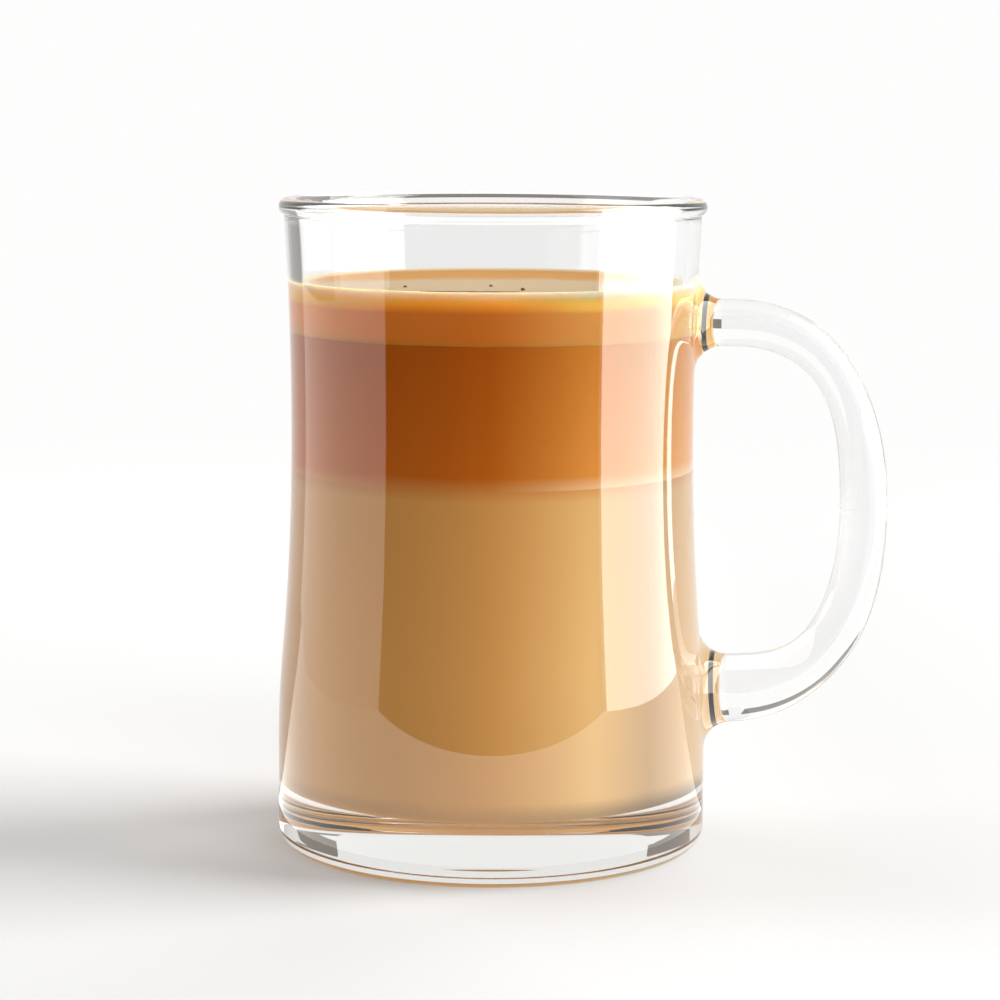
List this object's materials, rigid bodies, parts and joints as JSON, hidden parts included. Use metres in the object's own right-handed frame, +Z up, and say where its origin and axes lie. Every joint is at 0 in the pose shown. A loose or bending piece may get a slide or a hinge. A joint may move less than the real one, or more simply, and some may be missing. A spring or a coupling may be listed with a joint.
{
  "type": "masala chai in a glass mug",
  "caption": "Layered milk tea with froth in a clear waisted glass mug with a thick base, a beaded rim and an ear handle.",
  "frame": {"origin": "on the mug's axis, in the plane of the ring that it stands on", "axes": "+Z up along the mug's axis, +X towards the handle, +Y across the handle"},
  "size_m": [0.1152, 0.081, 0.1224],
  "materials": {
    "clear_glass": "polished",
    "milk_tea": "gloss",
    "brewed_tea": "gloss",
    "froth": "gloss"
  },
  "bodies": {
    "root": {"glass_mug": "clear_glass", "milk_tea": "milk_tea", "brewed_tea": "brewed_tea", "froth": "froth"}
  },
  "joints": []
}
